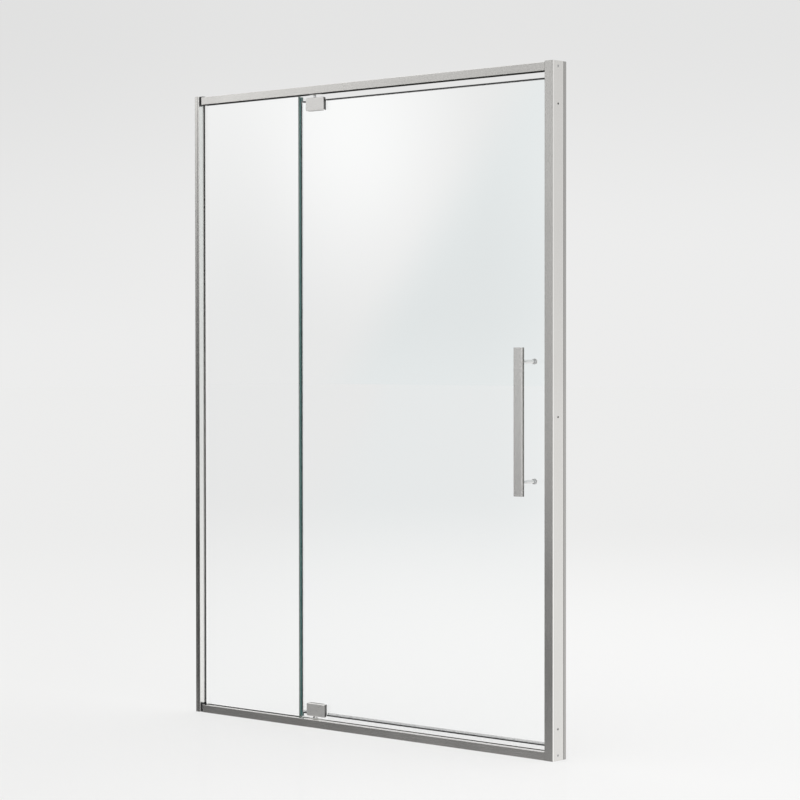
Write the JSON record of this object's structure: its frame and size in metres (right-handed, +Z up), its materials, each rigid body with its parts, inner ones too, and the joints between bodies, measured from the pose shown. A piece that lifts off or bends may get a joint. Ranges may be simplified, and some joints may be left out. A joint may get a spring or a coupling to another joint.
{
  "type": "pivot shower door",
  "caption": "Framed pivot shower door: clear fixed glass panel beside a pivoting glass door with a flat pull handle, in a slim satin metal frame.",
  "frame": {"origin": "middle of the underside of the sill rail, on the centre line of the frame's width and of the sill's depth", "axes": "+X from the fixed panel's wall jamb to the strike-side wall channel, +Y from the outside (handle side) into the shower, +Z up"},
  "size_m": [1.372, 0.1015, 1.829],
  "materials": {
    "brushed_nickel_frame": "brushed nickel anodised aluminium, satin",
    "brushed_nickel_hardware": "brushed nickel plated metal, satin",
    "polished_steel": "polished",
    "screw_steel": "plain stainless",
    "clear_glass": "clear tempered, polished edges",
    "black_plastic": "moulded, fine matt",
    "black_rubber": "soft, matt",
    "magnet_strip": "flexible magnet",
    "bearing_plastic": "off-white acetal",
    "dark_vinyl": "satin extruded vinyl",
    "clear_vinyl": "clear extruded vinyl"
  },
  "bodies": {
    "frame": {"header_rail": "brushed_nickel_frame", "sill_rail": "brushed_nickel_frame", "left_wall_jamb": "brushed_nickel_frame", "right_wall_channel": "brushed_nickel_frame", "corner_block_top_left": "black_plastic", "corner_block_bottom_left": "black_plastic", "corner_block_top_right": "black_plastic", "corner_block_bottom_right": "black_plastic", "corner_screws": "screw_steel", "fixed_glass_panel": "clear_glass", "glazing_gasket_top": "black_rubber", "glazing_gasket_bottom": "black_rubber", "glazing_gasket_left": "black_rubber", "setting_blocks": "black_plastic", "strike_insert": "brushed_nickel_frame", "strike_magnet_strip": "magnet_strip", "stop_gasket": "black_rubber", "top_pivot_block": "bearing_plastic", "top_pivot_block_screws": "screw_steel", "bottom_pivot_block": "bearing_plastic", "bottom_pivot_block_screws": "screw_steel", "thrust_washer": "bearing_plastic"},
    "door": {"door_glass_panel": "clear_glass", "top_hinge_front_plate": "brushed_nickel_hardware", "top_hinge_back_plate": "brushed_nickel_hardware", "top_hinge_gaskets": "black_rubber", "top_hinge_screws": "screw_steel", "bottom_hinge_front_plate": "brushed_nickel_hardware", "bottom_hinge_back_plate": "brushed_nickel_hardware", "bottom_hinge_gaskets": "black_rubber", "bottom_hinge_screws": "screw_steel", "top_pivot_pin": "polished_steel", "bottom_pivot_pin": "polished_steel", "door_top_seal": "dark_vinyl", "door_sweep_carrier": "dark_vinyl", "door_sweep_fin": "clear_vinyl", "door_strike_seal": "clear_vinyl", "door_magnet_strip": "magnet_strip", "hinge_side_seal": "clear_vinyl", "handle_bar": "brushed_nickel_hardware", "handle_posts": "polished_steel", "handle_washers": "clear_vinyl", "handle_sleeves": "clear_vinyl", "handle_cap_bolts": "polished_steel"}
  },
  "joints": [
    {"name": "door_pivot", "type": "hinge", "parent": "frame", "child": "door", "pos_m": [-0.205, 0.007, 0.9], "axis": [0, 0, -1], "range_deg": [0, 105]}
  ]
}
